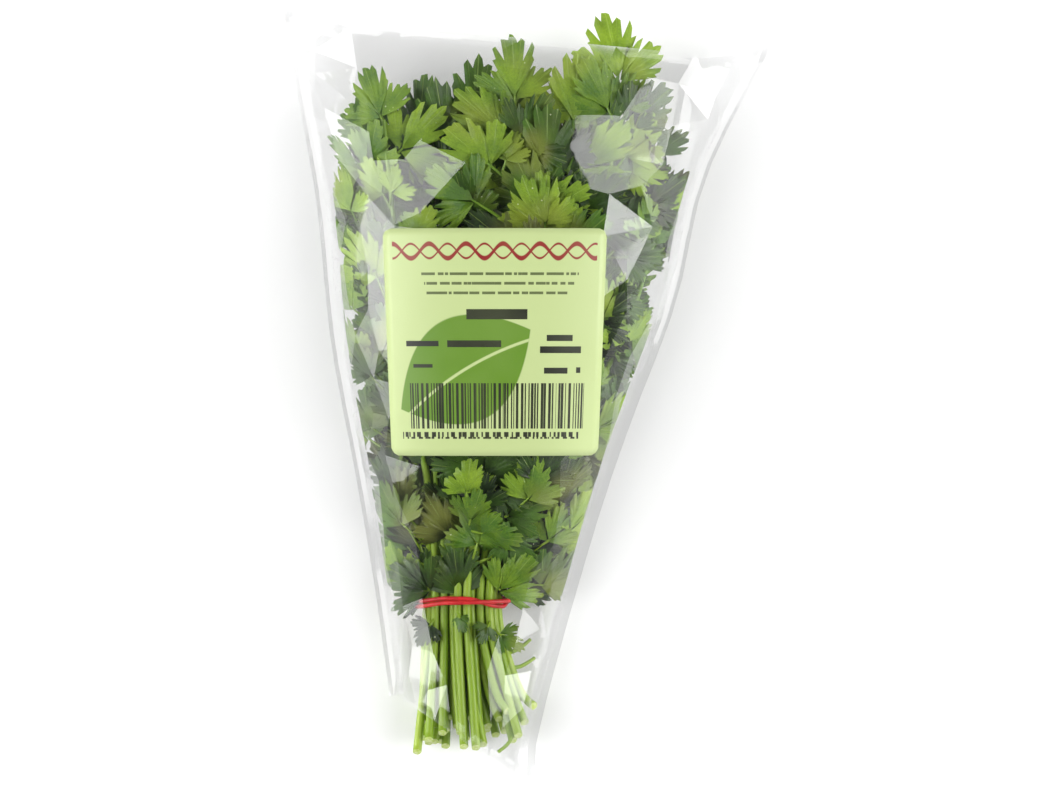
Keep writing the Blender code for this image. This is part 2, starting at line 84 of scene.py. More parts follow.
stalk = {"pitch": 3.15, "radius": 1.32, "tipRadius": 0.65, "gap": 0.12}
tallTips = [(33, 108), (-4, 101), (-18, 90), (16, 92), (-57, 87), (-50, 96), (-38, 88), (-27, 84),
            (44, 82), (47, 66), (7, 76), (-59, 62), (30, 46), (-10, 64), (24, 70), (-46, 60)]
frontTips = [(-15, -18), (-33, -26), (-6, -12), (-23, -40)]
middleTips, shortTips, middleCount = (18, 66), (-18, 18), 11
lowLeaves = [(-33, -78), (-24, -76), (-14, -79), (-9, -82)]
sideShoots = [((-2, -91), [(4.5, 1.5, -1), (9, 5, -2)]),
              ((-2, -96), [(4.5, 0.5, -1), (9.5, 3.5, -2)]),
              ((-6, -103), [(2.6, -6, -0.4), (2.4, -13, 0.2), (0.8, -19, 1.2), (-3.2, -22.5, 2.2)])]
shootRadii = (0.85, 0.6)
leafPlate = {"thickness": 0.5, "stalkHalf": 0.6, "rootHalf": 0.4, "rootDepth": 0.25, "gap": 0.17, "tries": 110,
             "lobes": [(0.28, 0.30), (0.60, 0.50), (0.64, 0.20)]}
planSeed = 27


def along(table, place):  # smooth curve through a table of (place, value)
    last = len(table) - 1
    k = 0
    while k < last - 1 and place > table[k + 1][0]:
        k += 1
    (y0, a), (y1, b) = table[k], table[k + 1]
    before = table[max(k - 1, 0)]
    after = table[min(k + 2, last)]
    slopeA = (b - before[1]) / (y1 - before[0])
    slopeB = (after[1] - a) / (after[0] - y0)
    if place <= y0:
        return a + slopeA * (place - y0)
    if place >= y1:
        return b + slopeB * (place - y1)
    span = y1 - y0
    t = (place - y0) / span
    rise = t * t * (3 - 2 * t)
    bendA = t * (1 - t) ** 2 * span * slopeA
    bendB = t * t * (t - 1) * span * slopeB
    return a + (b - a) * rise + bendA + bendB


def smoothStep(low, high, value):
    t = min(1, max(0, (value - low) / (high - low)))
    return t * t * (3 - 2 * t)


def bulge(share, place):  # 0 at the seams, 1 at the crown of the front panel
    edge = min(1, abs(2 * share - 1))
    full = along(sleeve["fullness"], place)
    lens = (1 - edge ** 2) ** 1.25
    pouch = (1 - edge ** 3) ** 0.62
    return lens + (pouch - lens) * full


def frontHeight(share, place):
    seam = along(sleeve["seamHeight"], place)
    return seam + (along(sleeve["crownHeight"], place) - seam) * bulge(share, place)


def backHeight(share, place):
    edge = min(1, abs(2 * share - 1))
    return along(sleeve["seamHeight"], place) * max(0, 1 - 1.5 * (1 - edge ** 3) ** 0.8)


def acrossAt(share, place):  # x at this share of the way from the left seam to the right one
    left = along(sleeve["leftSeam"], place)
    return left + (along(sleeve["rightSeam"], place) - left) * share


def shareOf(x, place):
    left = along(sleeve["leftSeam"], place)
    return (x - left) / (along(sleeve["rightSeam"], place) - left)


def sleevePlace(row, share):
    (leftLow, leftHigh), (rightLow, rightHigh) = sleeve["leftSpan"], sleeve["rightSpan"]
    left = leftLow + row * (leftHigh - leftLow)
    right = rightLow + row * (rightHigh - rightLow)
    dip = sleeve["mouthDip"] * (1 - abs(2 * share - 1) ** 8) * row ** 5
    return left + (right - left) * share - dip


def insideSleeve(point, margin):
    for aside in (-margin, margin):
        share = shareOf(point.x + aside, point.y)
        if not 0.02 < share < 0.98:
            return False
        if not backHeight(share, point.y) + margin < point.z < frontHeight(share, point.y) - margin:
            return False
    return True


def tieSpots():  # the stalks packed side by side under the band
    halfWidth = along(bundle["halfWidth"], bundle["tie"])
    halfDepth = along(bundle["halfDepth"], bundle["tie"])
    spots = []
    for row in range(-3, 4):
        v = row * stalk["pitch"] * math.sqrt(3) / 2
        for column in range(-6, 7):
            u = (column + 0.5 * (row % 2)) * stalk["pitch"]
            if (u / (halfWidth + 0.3)) ** 2 + (v / (halfDepth + 0.3)) ** 2 <= 1:
                spots.append((u / halfWidth, v / halfDepth))
    return spots


def assignTips(spots, chance):
    free = list(range(len(spots)))
    tips = {}
    for reach, wanted in ((1.2, frontTips), (0.35, tallTips)):
        for across, up in wanted:
            middle = along(bundle["middle"], up)
            want = (across - middle) / along(bundle["halfWidth"], up)
            best = min(free, key=lambda k: abs(spots[k][0] - want) - reach * spots[k][1])
            tips[best] = (across, up)
            free.remove(best)
    for level in sorted({v for _, v in spots}):
        row = [k for k in sorted(tips) if spots[k][1] == level]
        for k, tip in zip(row, sorted(tips[k] for k in row)):
            tips[k] = tip
    chance.shuffle(free)
    for count, k in enumerate(free):
        low, high = middleTips if count < middleCount else shortTips
        tips[k] = (None, chance.uniform(low, high))
    return tips


def stalkRoute(spot, tip, end, sway, leaning):
    u, v = spot
    lean = 0
    if tip[0] is not None:
        plain = along(bundle["middle"], tip[1]) + along(bundle["halfWidth"], tip[1]) * u
        lean = (tip[0] - plain) * leaning
    route = []
    for place in [end, *(place for place in bundle["knots"] if place < tip[1] - 9), tip[1]]:
        drift = smoothStep(bundle["tie"] + 10, tip[1] + 1, place)
        x = along(bundle["middle"], place) + along(bundle["halfWidth"], place) * u + lean * drift
        x += sway * smoothStep(bundle["tie"], -130, place)
        z = along(bundle["lift"], place) + along(bundle["halfDepth"], place) * v
        thick = smoothStep(bundle["tie"] + 20, tip[1] + 20, place)
        radius = stalk["radius"] + (stalk["tipRadius"] - stalk["radius"]) * thick
        route.append((Vector((x, place, z)), radius))
    return route


def routePoint(route, place):
    for (a, _), (b, _) in zip(route, route[1:]):
        if a.y <= place <= b.y:
            return a.lerp(b, (place - a.y) / (b.y - a.y))
    return route[-1][0] if place > route[-1][0].y else route[0][0]


def tubeTree(route, spare):  # plain prism round a route, for the clearance tests
    points = []
    faces = []
    for k, (centre, radius) in enumerate(route):
        grown = (radius + spare) / math.cos(math.pi / 8)
        for step in range(8):
            turn = math.pi / 4 * step
            points.append(centre + Vector((grown * math.cos(turn), 0, grown * math.sin(turn))))
        if k:
            base = 8 * k
            for step in range(8):
                after = (step + 1) % 8
                faces.append((base - 8 + step, base - 8 + after, base + after, base + step))
    return BVHTree.FromPolygons(points, faces)


def shootRoutes(routes):
    shoots = []
    for (across, place), bends in sideShoots:
        roots = [routePoint(route, place) for route in routes]
        k = min(range(len(routes)), key=lambda n: abs(roots[n].x - across) - 0.3 * roots[n].z)
        points = [roots[k]] + [roots[k] + Vector(bend) for bend in bends]
        thick, thin = shootRadii
        radii = [thick + (thin - thick) * n / len(bends) for n in range(len(points))]
        shoots.append((k, list(zip(points, radii))))
    return shoots


def leafOutline(leaf, grow):
    size = leaf["size"]
    side = [(-leaf["stalk"] - leafPlate["rootDepth"], leafPlate["rootHalf"] + grow)]
    side += [(0, leafPlate["stalkHalf"] + grow)]
    side += [(a * size, b * size + grow) for a, b in leafPlate["lobes"]]
    return side + [(size + grow, 0)] + [(a, -b) for a, b in reversed(side)]


def leafFrame(leaf):  # x along the leaf, y across it, z out of its face
    forward = leaf["forward"].normalized()
    flat = leaf["facing"] - forward * leaf["facing"].dot(forward)
    up = flat.normalized()
    side = up.cross(forward)
    place = Matrix((forward, side, up)).transposed().to_4x4()
    place.translation = leaf["base"] + forward * leaf["stalk"]
    return place


def leafTree(leaf, grow, fromBlade):
    place = leafFrame(leaf)
    outline = leafOutline(leaf, grow)
    if fromBlade:
        outline = outline[1:-1]
    half = leafPlate["thickness"] / 2 + grow
    count = len(outline)
    points = [place @ Vector((a, b, half)) for a, b in outline]
    points += [place @ Vector((a, b, -half)) for a, b in outline]
    points += [place @ Vector((leaf["size"] * 0.3, 0, half)), place @ Vector((leaf["size"] * 0.3, 0, -half))]
    faces = []
    for k in range(count):
        after = (k + 1) % count
        faces.append((k, after, 2 * count))
        faces.append((count + after, count + k, 2 * count + 1))
        faces.append((k, count + k, count + after))
        faces.append((k, count + after, after))
    return BVHTree.FromPolygons(points, faces), points


def leafWishes(tip, chance):  # a top leaf and pairs below it
    wishes = [dict(place=tip[1], side=0, stalk=3, size=chance.uniform(23, 28), spread=0)]
    place = tip[1] - chance.uniform(12, 16)
    for pair in range(4 if tip[1] > 40 else 3):
        for side in (-1, 1):
            length = 4 + 5.5 * pair * chance.uniform(0.7, 1.1)
            size = chance.uniform(20, 26)
            spread = chance.uniform(0.6, 1.0)
            wishes.append(dict(place=place - 1.0 * side, side=side, stalk=length, size=size, spread=spread))
        place -= chance.uniform(13, 20)
        if place < bundle["tie"] + 12:
            break
    return wishes


def tryLeaf(wish, route, depth, chance, attempt):
    stray = min(1.3, 0.2 + attempt / 50)
    base = routePoint(route, wish["place"] - 2.5 * (wish["side"] == 0))
    below = routePoint(route, wish["place"] - 12)
    axis = (base - below).normalized()
    turn = wish["side"] * wish["spread"] + chance.uniform(-0.5, 0.5) * stray
    tilt = chance.uniform(-0.45, 0.45) * stray + 0.16 * depth
    forward = Matrix.Rotation(-turn, 3, "Z") @ axis
    forward = (forward + Vector((0, 0, tilt))).normalized()
    roll = chance.uniform(-0.7, 0.7) * stray
    facing = Matrix.Rotation(roll, 3, forward) @ Vector((0, 0, 1))
    size = wish["size"] * (1 - 0.4 * attempt / leafPlate["tries"])
    length = wish["stalk"] * (1 - 0.5 * attempt / leafPlate["tries"])
    return dict(base=base, forward=forward, facing=facing, size=size, stalk=length)


def placeLeaves(routes, shoots, tips, depths, order):
    chance = random.Random(planSeed + 1)
    tubes = [(k, tubeTree(route, leafPlate["gap"])) for k, route in list(enumerate(routes)) + shoots]
    placed = []
    leaves = [[] for _ in routes]
    for rank in range(max(len(tip[2]) for tip in tips.values())):
        for k in order:
            if rank >= len(tips[k][2]):
                continue
            for attempt in range(leafPlate["tries"]):
                leaf = tryLeaf(tips[k][2][rank], routes[k], depths[k], chance, attempt)
                tree, points = leafTree(leaf, leafPlate["gap"], False)
                if not all(insideSleeve(point, sleeve["leafGap"]) for point in points):
                    continue
                if any(j != k and tree.overlap(other) for j, other in tubes):
                    continue
                middle = leafFrame(leaf) @ Vector((leaf["size"] * 0.4, 0, 0))
                reach = leaf["size"] + leaf["stalk"]
                near = (row for row in placed if (row[1] - middle).length <= reach + row[2])
                if any(tree.overlap(blade if owner == k else other) for owner, _, _, other, blade in near):
                    continue
                placed.append((k, middle, reach, tree, leafTree(leaf, 0.2, True)[0]))
                leaves[k].append(leaf)
                break
    return leaves


def layStalks(spots, tips, chance):
    routes = [None] * len(spots)
    trees = []
    for k in sorted(range(len(spots)), key=lambda n: tips[n][0] is not None):
        end = -119 - 4.5 * chance.random() + 13 * max(0, spots[k][0]) ** 2 * chance.uniform(0.7, 1.2)
        sway = chance.uniform(-0.5, 0.5)
        for step in range(2 * bundle["leanSteps"]):
            leaning = 1 - step / bundle["leanSteps"]
            route = stalkRoute(spots[k], tips[k], end, sway * leaning, leaning)
            tree = tubeTree(route, stalk["gap"])
            if not any(tree.overlap(other) for other in trees):
                break
        trees.append(tree)
        routes[k] = route
    return routes


def planBunch():
    chance = random.Random(planSeed)
    spots = tieSpots()
    tips = assignTips(spots, chance)
    routes = layStalks(spots, tips, chance)
    for k in range(len(spots)):
        tips[k] = (tips[k][0], tips[k][1], leafWishes(tips[k], chance))
    for count, (across, place) in enumerate(lowLeaves):
        fronts = [routePoint(route, place) for route in routes]
        k = min(range(len(routes)), key=lambda n: abs(fronts[n].x - across) - 1.5 * fronts[n].z)
        side = 1 if count % 2 else -1
        tips[k][2].insert(1, dict(place=place, side=side, stalk=2.5, size=13, spread=2.2))
    order = sorted(range(len(spots)), key=lambda k: (tips[k][0] is None, -spots[k][1]))
    shoots = shootRoutes(routes)
    leaves = placeLeaves(routes, shoots, tips, [spot[1] for spot in spots], order)
    return routes, shoots, leaves


routes, shoots, leaves = planBunch()
print("bunch planned:", len(routes), "sprigs,", sum(len(row) for row in leaves), "leaves")


# Material helpers.
def paint(red, green, blue):  # a screen colour, 0 to 255, as the linear colour that shaders take
    linear = [(c / 255 / 12.92 if c <= 10 else ((c / 255 + 0.055) / 1.055) ** 2.4) for c in (red, green, blue)]
    return (*linear, 1)


def addNode(tree, kind, inputs=None, **settings):
    node = tree.nodes.new("ShaderNode" + kind)
    for key, value in settings.items():
        setattr(node, key, value)
    for key, value in (inputs or {}).items():
        if isinstance(value, bpy.types.NodeSocket):
            tree.links.new(value, node.inputs[key])
        else:
            node.inputs[key].default_value = value
    return node


def calc(tree, operation, a, b=0.0):
    return addNode(tree, "Math", {0: a, 1: b}, operation=operation).outputs[0]


def times(tree, a, b):
    return calc(tree, "MULTIPLY", a, b)


def plus(tree, a, b):
    return calc(tree, "ADD", a, b)


def minus(tree, a, b):
    return calc(tree, "SUBTRACT", a, b)


def ramp(tree, value, low, high, a=0.0, b=1.0, smooth=True):
    kind = "SMOOTHSTEP" if smooth else "LINEAR"
    sockets = {"Value": value, "From Min": low, "From Max": high, "To Min": a, "To Max": b}
    return addNode(tree, "MapRange", sockets, interpolation_type=kind).outputs["Result"]


def blendColour(tree, factor, a, b, kind="MIX"):
    sockets = {0: factor, 6: a, 7: b}
    return addNode(tree, "Mix", sockets, data_type="RGBA", blend_type=kind).outputs[2]


def newMaterial(name):
    material = bpy.data.materials.new(name)
    material.use_nodes = True
    tree = material.node_tree
    shader = tree.nodes["Principled BSDF"]
    return material, tree, shader


def makeGrainGroup():  # mottling and fine relief for leaves, stalks, paper and rubber
    group = bpy.data.node_groups.new("fineGrain", "ShaderNodeTree")
    group.interface.new_socket("Vector", in_out="INPUT", socket_type="NodeSocketVector")
    for name, value in (("Scale", 300), ("Patch Scale", 60), ("Relief", 0.3), ("Depth", 0.0002), ("Height", 0)):
        socket = group.interface.new_socket(name, in_out="INPUT", socket_type="NodeSocketFloat")
        socket.default_value = value
    for name in ("Patch", "Grain"):
        group.interface.new_socket(name, in_out="OUTPUT", socket_type="NodeSocketFloat")
    group.interface.new_socket("Normal", in_out="OUTPUT", socket_type="NodeSocketVector")
    given = group.nodes.new("NodeGroupInput").outputs
    sockets = {"Vector": given["Vector"], "Scale": given["Patch Scale"], "Detail": 2}
    patch = addNode(group, "TexNoise", sockets)
    sockets = {"Vector": given["Vector"], "Scale": given["Scale"], "Detail": 4}
    grain = addNode(group, "TexNoise", sockets)
    height = plus(group, grain.outputs["Fac"], given["Height"])
    sockets = {"Strength": given["Relief"], "Distance": given["Depth"], "Height": height}
    bump = addNode(group, "Bump", sockets)
    out = group.nodes.new("NodeGroupOutput")
    group.links.new(ramp(group, patch.outputs["Fac"], 0.3, 0.7), out.inputs["Patch"])
    group.links.new(grain.outputs["Fac"], out.inputs["Grain"])
    group.links.new(bump.outputs["Normal"], out.inputs["Normal"])
    return group


fineGrain = makeGrainGroup()


def addGrain(tree, vector, scale, patchScale, relief, depth, height=0.0):
    sockets = {"Vector": vector, "Scale": scale, "Patch Scale": patchScale, "Relief": relief, "Depth": depth,
               "Height": height}
    return addNode(tree, "Group", sockets, node_tree=fineGrain).outputs


def objectPoint(tree):
    return addNode(tree, "TexCoord").outputs["Object"]


def stretched(tree, scale):
    return addNode(tree, "Mapping", {"Vector": objectPoint(tree), "Scale": scale}).outputs["Vector"]


def finishSurface(tree, shader, colour, grain, roughness):
    tree.links.new(colour, shader.inputs["Base Color"])
    tree.links.new(ramp(tree, grain["Grain"], 0.3, 0.7, *roughness), shader.inputs["Roughness"])
    tree.links.new(grain["Normal"], shader.inputs["Normal"])


# dark is the green of low leaf tone, reached both by random tone and by the painted shade on leaves deep in the
# bunch
leafLook = {"dark": paint(20, 40, 8), "middle": paint(72, 112, 18), "bright": paint(152, 184, 44),
            "olive": paint(146, 152, 58), "speck": paint(226, 232, 190), "vein": paint(176, 204, 96),
            "veinShow": 0.34, "veinRise": -0.9, "mottle": 0.22, "grainShow": 0.35, "seasonScale": 38,
            "speckScale": 230, "speckPatches": 90, "speckSize": (0.045, 0.08), "roughness": (0.36, 0.6),
            "grain": {"scale": 1400, "patchScale": 110, "relief": 0.6, "depth": 0.00025}}


def makeLeafMaterial():
    material, tree, shader = newMaterial("leafBlade")
    place = objectPoint(tree)
    rib = addNode(tree, "Attribute", attribute_name="rib").outputs["Fac"]
    # the tone attribute holds each leaf's random tone plus painted shade for leaves deep in the bunch
    tone = addNode(tree, "Attribute", attribute_name="tone").outputs["Fac"]
    vein = ramp(tree, rib, 0.78, 1.0)
    grain = addGrain(tree, place, height=times(tree, vein, leafLook["veinRise"]), **leafLook["grain"])
    mottle = times(tree, minus(tree, grain["Patch"], 0.5), leafLook["mottle"])
    fine = times(tree, minus(tree, grain["Grain"], 0.5), leafLook["grainShow"])
    depth = plus(tree, plus(tree, tone, mottle), fine)
    # low tone, partly painted shade, blends the blade towards the dark green
    low = blendColour(tree, ramp(tree, depth, 0.0, 0.5, smooth=False), leafLook["dark"], leafLook["middle"])
    blade = blendColour(tree, ramp(tree, depth, 0.5, 1.0, smooth=False), low, leafLook["bright"])
    sockets = {"Vector": place, "Scale": leafLook["seasonScale"], "Detail": 1}
    season = addNode(tree, "TexNoise", sockets).outputs["Fac"]
    blade = blendColour(tree, ramp(tree, season, 0.5, 0.72, 0.0, 0.5), blade, leafLook["olive"])
    veined = blendColour(tree, times(tree, vein, leafLook["veinShow"]), blade, leafLook["vein"])
    sockets = {"Vector": place, "Scale": leafLook["speckScale"]}
    dots = addNode(tree, "TexVoronoi", sockets).outputs["Distance"]
    sockets = {"Vector": place, "Scale": leafLook["speckPatches"]}
    some = ramp(tree, addNode(tree, "TexNoise", sockets).outputs["Fac"], 0.52, 0.58)
    speckled = times(tree, ramp(tree, dots, *leafLook["speckSize"], 0.7, 0.0), some)
    spotted = blendColour(tree, speckled, veined, leafLook["speck"])
    finishSurface(tree, shader, spotted, grain, leafLook["roughness"])
    return material


stalkLook = {"low": paint(138, 172, 28), "high": paint(102, 144, 34), "pale": paint(184, 206, 92),
             "cut": paint(208, 220, 156), "roughness": (0.3, 0.5), "cutRoughness": (0.4, 0.65),
             "fade": (-0.07, 0.03), "streak": 0.34, "streakStretch": (1, 0.06, 1),
             "shades": {"Red": (0.62, 1.1), "Green": (0.7, 1.06), "Blue": (0.6, 1.1)},
             "grain": {"scale": 2200, "patchScale": 260, "relief": 0.5, "depth": 0.0002},
             "cutGrain": {"scale": 2600, "patchScale": 900, "relief": 0.8, "depth": 0.0003}}


def makeStalkMaterial():
    material, tree, shader = newMaterial("greenStalk")
    length = addNode(tree, "SeparateXYZ", {0: objectPoint(tree)}).outputs["Y"]
    tone = addNode(tree, "Attribute", attribute_name="tone").outputs["Fac"]
    grain = addGrain(tree, stretched(tree, stalkLook["streakStretch"]), **stalkLook["grain"])
    body = blendColour(tree, ramp(tree, length, *stalkLook["fade"]), stalkLook["low"], stalkLook["high"])
    streak = times(tree, grain["Patch"], stalkLook["streak"])
    streaked = blendColour(tree, streak, body, stalkLook["pale"])
    shades = {name: ramp(tree, tone, 0, 1, *span, False) for name, span in stalkLook["shades"].items()}
    shade = addNode(tree, "CombineColor", shades).outputs[0]
    shaded = blendColour(tree, 1.0, streaked, shade, "MULTIPLY")
    finishSurface(tree, shader, shaded, grain, stalkLook["roughness"])
    return material


def makeCutMaterial():
    material, tree, shader = newMaterial("cutEnd")
    grain = addGrain(tree, objectPoint(tree), **stalkLook["cutGrain"])
    colour = blendColour(tree, grain["Patch"], stalkLook["cut"], stalkLook["pale"])
    finishSurface(tree, shader, colour, grain, stalkLook["cutRoughness"])
    return material


# Sprigs.
materialOrder = {"stalk": 1, "cut": 2}  # the leaf blades take the first material, 0
leafLobe = {"rings": 2, "halfAngle": 1.12, "thickness": 0.22, "pleat": 0.022, "cup": 0.12, "droop": 0.2}
# Half the edge of a lobe, from its tip to its base: share of the half angle, reach, and 1 where a vein ends.
lobeEdge = [(0, 1, 1), (0.09, 0.955, 0.3), (0.14, 0.86, 0), (0.25, 0.94, 1), (0.36, 0.87, 0.2), (0.44, 0.60, 0),
            (0.58, 0.85, 1), (0.70, 0.79, 0.2), (0.76, 0.68, 0), (0.90, 0.67, 1), (1.0, 0.42, 0)]
sprigStyle = {"sides": 10, "stepLength": 6, "groove": 0.05, "sideStalk": 0.62, "sideSides": 5, "shootSides": 7,
              "sideTone": 0.8, "leafGrow": 1.04, "topTone": 0.08, "extraLeaves": 1, "extraSize": (12, 19),
              "filmGap": 1.0, "backGap": 0.8, "bandWidth": 16.5, "bandDepth": 9.6, "bandReach": (9, 4),
              "heroPlace": (20, 100), "heroSize": 1.35, "heroTone": 0.8, "slant": 0.7, "plump": 0.1,
              "lowSize": 14, "lowShrink": 0.84, "lowLift": 1.2, "crease": 1.1, "seed": 500}
looseEnds = {"aside": (-3.2, 3.2), "along": (-3.5, 8), "up": (-0.9, 0.9), "fan": 0.16, "thicker": 1.06,
             "follow": (0.45, 0.4)}
# The depth term is painted shade: a leaf lying deep under the front film is painted darker
leafShade = {"plain": 0.34, "side": 0.16, "high": 0.24, "deepShade": 0.42, "spread": (-0.34, 0.42)}


def keepInside(point):  # pressed against the sleeve rather than through it
    share = min(0.975, max(0.025, shareOf(point.x, point.y)))
    point.x = acrossAt(share, point.y)
    top = frontHeight(share, point.y) - sprigStyle["filmGap"]
    low = backHeight(share, point.y) + sprigStyle["backGap"]
    point.z = max(low, min(top, point.z))
    aside = (point.x - along(bundle["middle"], bundle["tie"])) / sprigStyle["bandWidth"]
    near = smoothStep(*sprigStyle["bandReach"], abs(point.y - bundle["tie"]))
    if near and abs(aside) < 1:  # tucked under the rubber band
        under = along(bundle["lift"], bundle["tie"]) + sprigStyle["bandDepth"] * math.sqrt(1 - aside * aside)
        point.z -= near * max(0, point.z - under)
    return point


def smoothRoute(route, steps):  # a rounder line through the points of a route
    smooth = []
    for k in range(len(route) - 1):
        before, a, b, after = (route[min(max(n, 0), len(route) - 1)] for n in (k - 1, k, k + 1, k + 2))
        for step in range(steps):
            t = step / steps
            slope = b[0] - before[0]
            bend = 2 * before[0] - 5 * a[0] + 4 * b[0] - after[0]
            point = 0.5 * (2 * a[0] + slope * t + bend * t ** 2
                           + (3 * a[0] - before[0] - 3 * b[0] + after[0]) * t ** 3)
            smooth.append((point, a[1] + (b[1] - a[1]) * t))
    return smooth + [route[-1]]


def tubeSide(run, upright, turn):  # the way out from a tube's line at this turn round it
    across = run.cross(upright).normalized()
    return across * math.cos(turn) + across.cross(run) * math.sin(turn)


def facesOf(verts):  # each face once, always in the same order
    return list(dict.fromkeys(face for vert in verts for face in vert.link_faces))


def rollTube(shape, route, sides, groove, tone, capIndex):  # a grid rolled up round a route
    layer = shape.verts.layers.float["tone"]
    made = bmesh.ops.create_grid(shape, x_segments=len(route) - 1, y_segments=sides, size=0.5)["verts"]
    line = [point for point, _ in route]
    for vert in made:
        k = round((vert.co.x + 0.5) * (len(route) - 1))
        turn = 2 * math.pi * (vert.co.y + 0.5)
        run = (line[min(k + 1, len(line) - 1)] - line[max(k - 1, 0)]).normalized()
        out = tubeSide(run, Vector((0, 0, 1)) if abs(run.z) < 0.9 else Vector((1, 0, 0)), turn)
        plump = 1 + (sprigStyle["plump"] * smoothStep(-50, -90, line[k].y) if groove else 0)
        radius = route[k][1] * plump * (1 + groove * math.cos(sides // 2 * turn))
        slant = run * out.z * radius * sprigStyle["slant"] if k == 0 else Vector()
        vert.co = (line[k] + out * radius + slant) * mm
        vert[layer] = tone
    faces = facesOf(made)
    bmesh.ops.remove_doubles(shape, verts=made, dist=1e-7)
    edges = dict.fromkeys(edge for face in faces for edge in face.edges if edge.is_boundary)
    caps = bmesh.ops.holes_fill(shape, edges=list(edges), sides=0)["faces"]
    for face in faces:
        face.material_index = materialOrder["stalk"]
    for cap in caps:
        cap.material_index = capIndex
    for face in [*faces, *caps]:
        face.smooth = True
    bmesh.ops.recalc_face_normals(shape, faces=[*faces, *caps])


def addLobe(shape, place, root, turn, length, narrow, tone, chance):
    tones = shape.verts.layers.float["tone"]
    ribs = shape.verts.layers.float["rib"]
    edge = lobeEdge[:0:-1] + lobeEdge
    middle = len(lobeEdge) - 1
    rings = leafLobe["rings"]
    made = bmesh.ops.create_grid(shape, x_segments=rings, y_segments=len(edge) - 1, size=0.5)["verts"]
    faces = facesOf(made)
    for face in faces:
        face.smooth = True
    jitter = [chance.uniform(0.93, 1.05) for _ in edge]
    cup, droop = leafLobe["cup"] * chance.uniform(-0.6, 1.2), leafLobe["droop"] * chance.uniform(-0.3, 1.3)
    twist, wave = chance.uniform(-0.25, 0.25), chance.uniform(0, 6)
    heading = Matrix.Rotation(turn, 3, "Z")
    for vert in made:
        ring = (vert.co.x + 0.5) ** 0.85
        spoke = round((vert.co.y + 0.5) * (len(edge) - 1))
        fraction, reach, tip = edge[spoke]
        angle = fraction * leafLobe["halfAngle"] * narrow * (1 if spoke > middle else -1)
        reach *= (1 + (jitter[spoke] - 1) * ring) * ring
        a, b = reach * math.cos(angle), reach * math.sin(angle)
        lift = cup * b * b * 3 - droop * a * a + twist * a * b
        lift += leafLobe["pleat"] * (tip - 0.5) * ring ** 1.5 + 0.02 * math.sin(wave + 7 * a + 5 * b)
        local = root + heading @ Vector((a, b, 0)) * length
        local.z += lift * length
        vert.co = keepInside(place @ local) * mm
        vert[tones] = tone + 0.06 * (ring - 0.5)
        vert[ribs] = tip * (1 if ring == 1 or spoke == middle else 0.8) if ring > 0 else 0.6
    bmesh.ops.remove_doubles(shape, verts=made, dist=1e-7)
    kept = [face for face in faces if face.is_valid]
    under = bmesh.ops.extrude_face_region(shape, geom=kept, use_keep_orig=True)["geom"]
    copied = [part for part in under if isinstance(part, bmesh.types.BMVert)]
    down = place.to_3x3() @ Vector((0, 0, -leafLobe["thickness"] * mm))
    bmesh.ops.translate(shape, verts=copied, vec=down)
    shell = list(dict.fromkeys([*facesOf(copied), *kept]))
    bmesh.ops.recalc_face_normals(shape, faces=shell)


def addLeaf(shape, place, size, tone, chance):  # a middle lobe and one on each side of it
    narrow = chance.uniform(0.5, 0.64)
    addLobe(shape, place, Vector((0.12 * size, 0, 0.25)), 0, 0.88 * size, narrow, tone, chance)
    for side in (-1, 1):
        turn = side * chance.uniform(0.84, 1.12)
        shade = tone + chance.uniform(-0.06, 0.06)
        root = Vector((0.08 * size, side * 0.02 * size, -0.1 * side))
        addLobe(shape, place, root, turn, size * chance.uniform(0.64, 0.74), narrow * 0.98, shade, chance)


def addSideStalk(shape, base, place, reach, tone, thick):
    tip = place @ Vector((reach, 0, 0))
    start = base - (tip - base).normalized() * 0.3
    bend = base.lerp(tip, 0.5) + Vector((0, 0, 0.06 * (tip - base).length))
    bends = smoothRoute([(start, thick), (bend, thick * 0.85), (tip, thick * 0.6)], 3)
    inside = [(keepInside(point.copy()), radius) for point, radius in bends]
    rollTube(shape, inside, sprigStyle["sideSides"], 0, tone, materialOrder["stalk"])


def leafToneAndShade(spot, chance):  # random tone with painted shade that darkens leaves deep in the bunch, lighter towards the tips
    share = min(0.95, max(0.05, shareOf(spot.x, spot.y)))
    depth = frontHeight(share, spot.y) - spot.z
    side = smoothStep(0.5, 0.9, abs(2 * share - 1))
    tone = leafShade["plain"] + leafShade["side"] * side + leafShade["high"] * smoothStep(-20, 100, spot.y)
    # painted shade: the deeper a leaf lies below the front film, the darker it is painted
    return tone - leafShade["deepShade"] * smoothStep(2, 18, depth) + chance.uniform(*leafShade["spread"])


filler = {"rows": 17, "columns": 10, "span": (-66, 74), "shares": (0.03, 0.97), "levels": (0.25, 0.97),
          "size": (14, 22), "drop": (9, 18), "thin": 0.85, "shortCost": 30, "seed": 5}


def planFillers():  # leaves that fill the pouch out to its sides, each on the sprig that runs nearest to it
    chance = random.Random(filler["seed"])
    shared = [[] for _ in routes]
    bottom, top = filler["span"]
    low, high = filler["shares"]
    for row in range(filler["rows"]):
        for column in range(filler["columns"]):
            place = bottom + (top - bottom) * (row + chance.random()) / filler["rows"]
            share = low + (high - low) * (column + chance.random()) / filler["columns"]
            level = chance.uniform(*filler["levels"])
            z = backHeight(share, place) * (1 - level) + frontHeight(share, place) * level
            spot = Vector((acrossAt(share, place), place, z))
            root = max(bundle["tie"] + 6, place - chance.uniform(*filler["drop"]))
            reaches = [(routePoint(route, root) - spot).length + filler["shortCost"] * (route[-1][0].y < root)
                       for route in routes]
            owner = reaches.index(min(reaches))
            shared[owner].append((routePoint(routes[owner], root), spot, chance.uniform(*filler["size"])))
            chance.random()  # a draw that keeps the next leaves where they are
    return shared


fillers = planFillers()


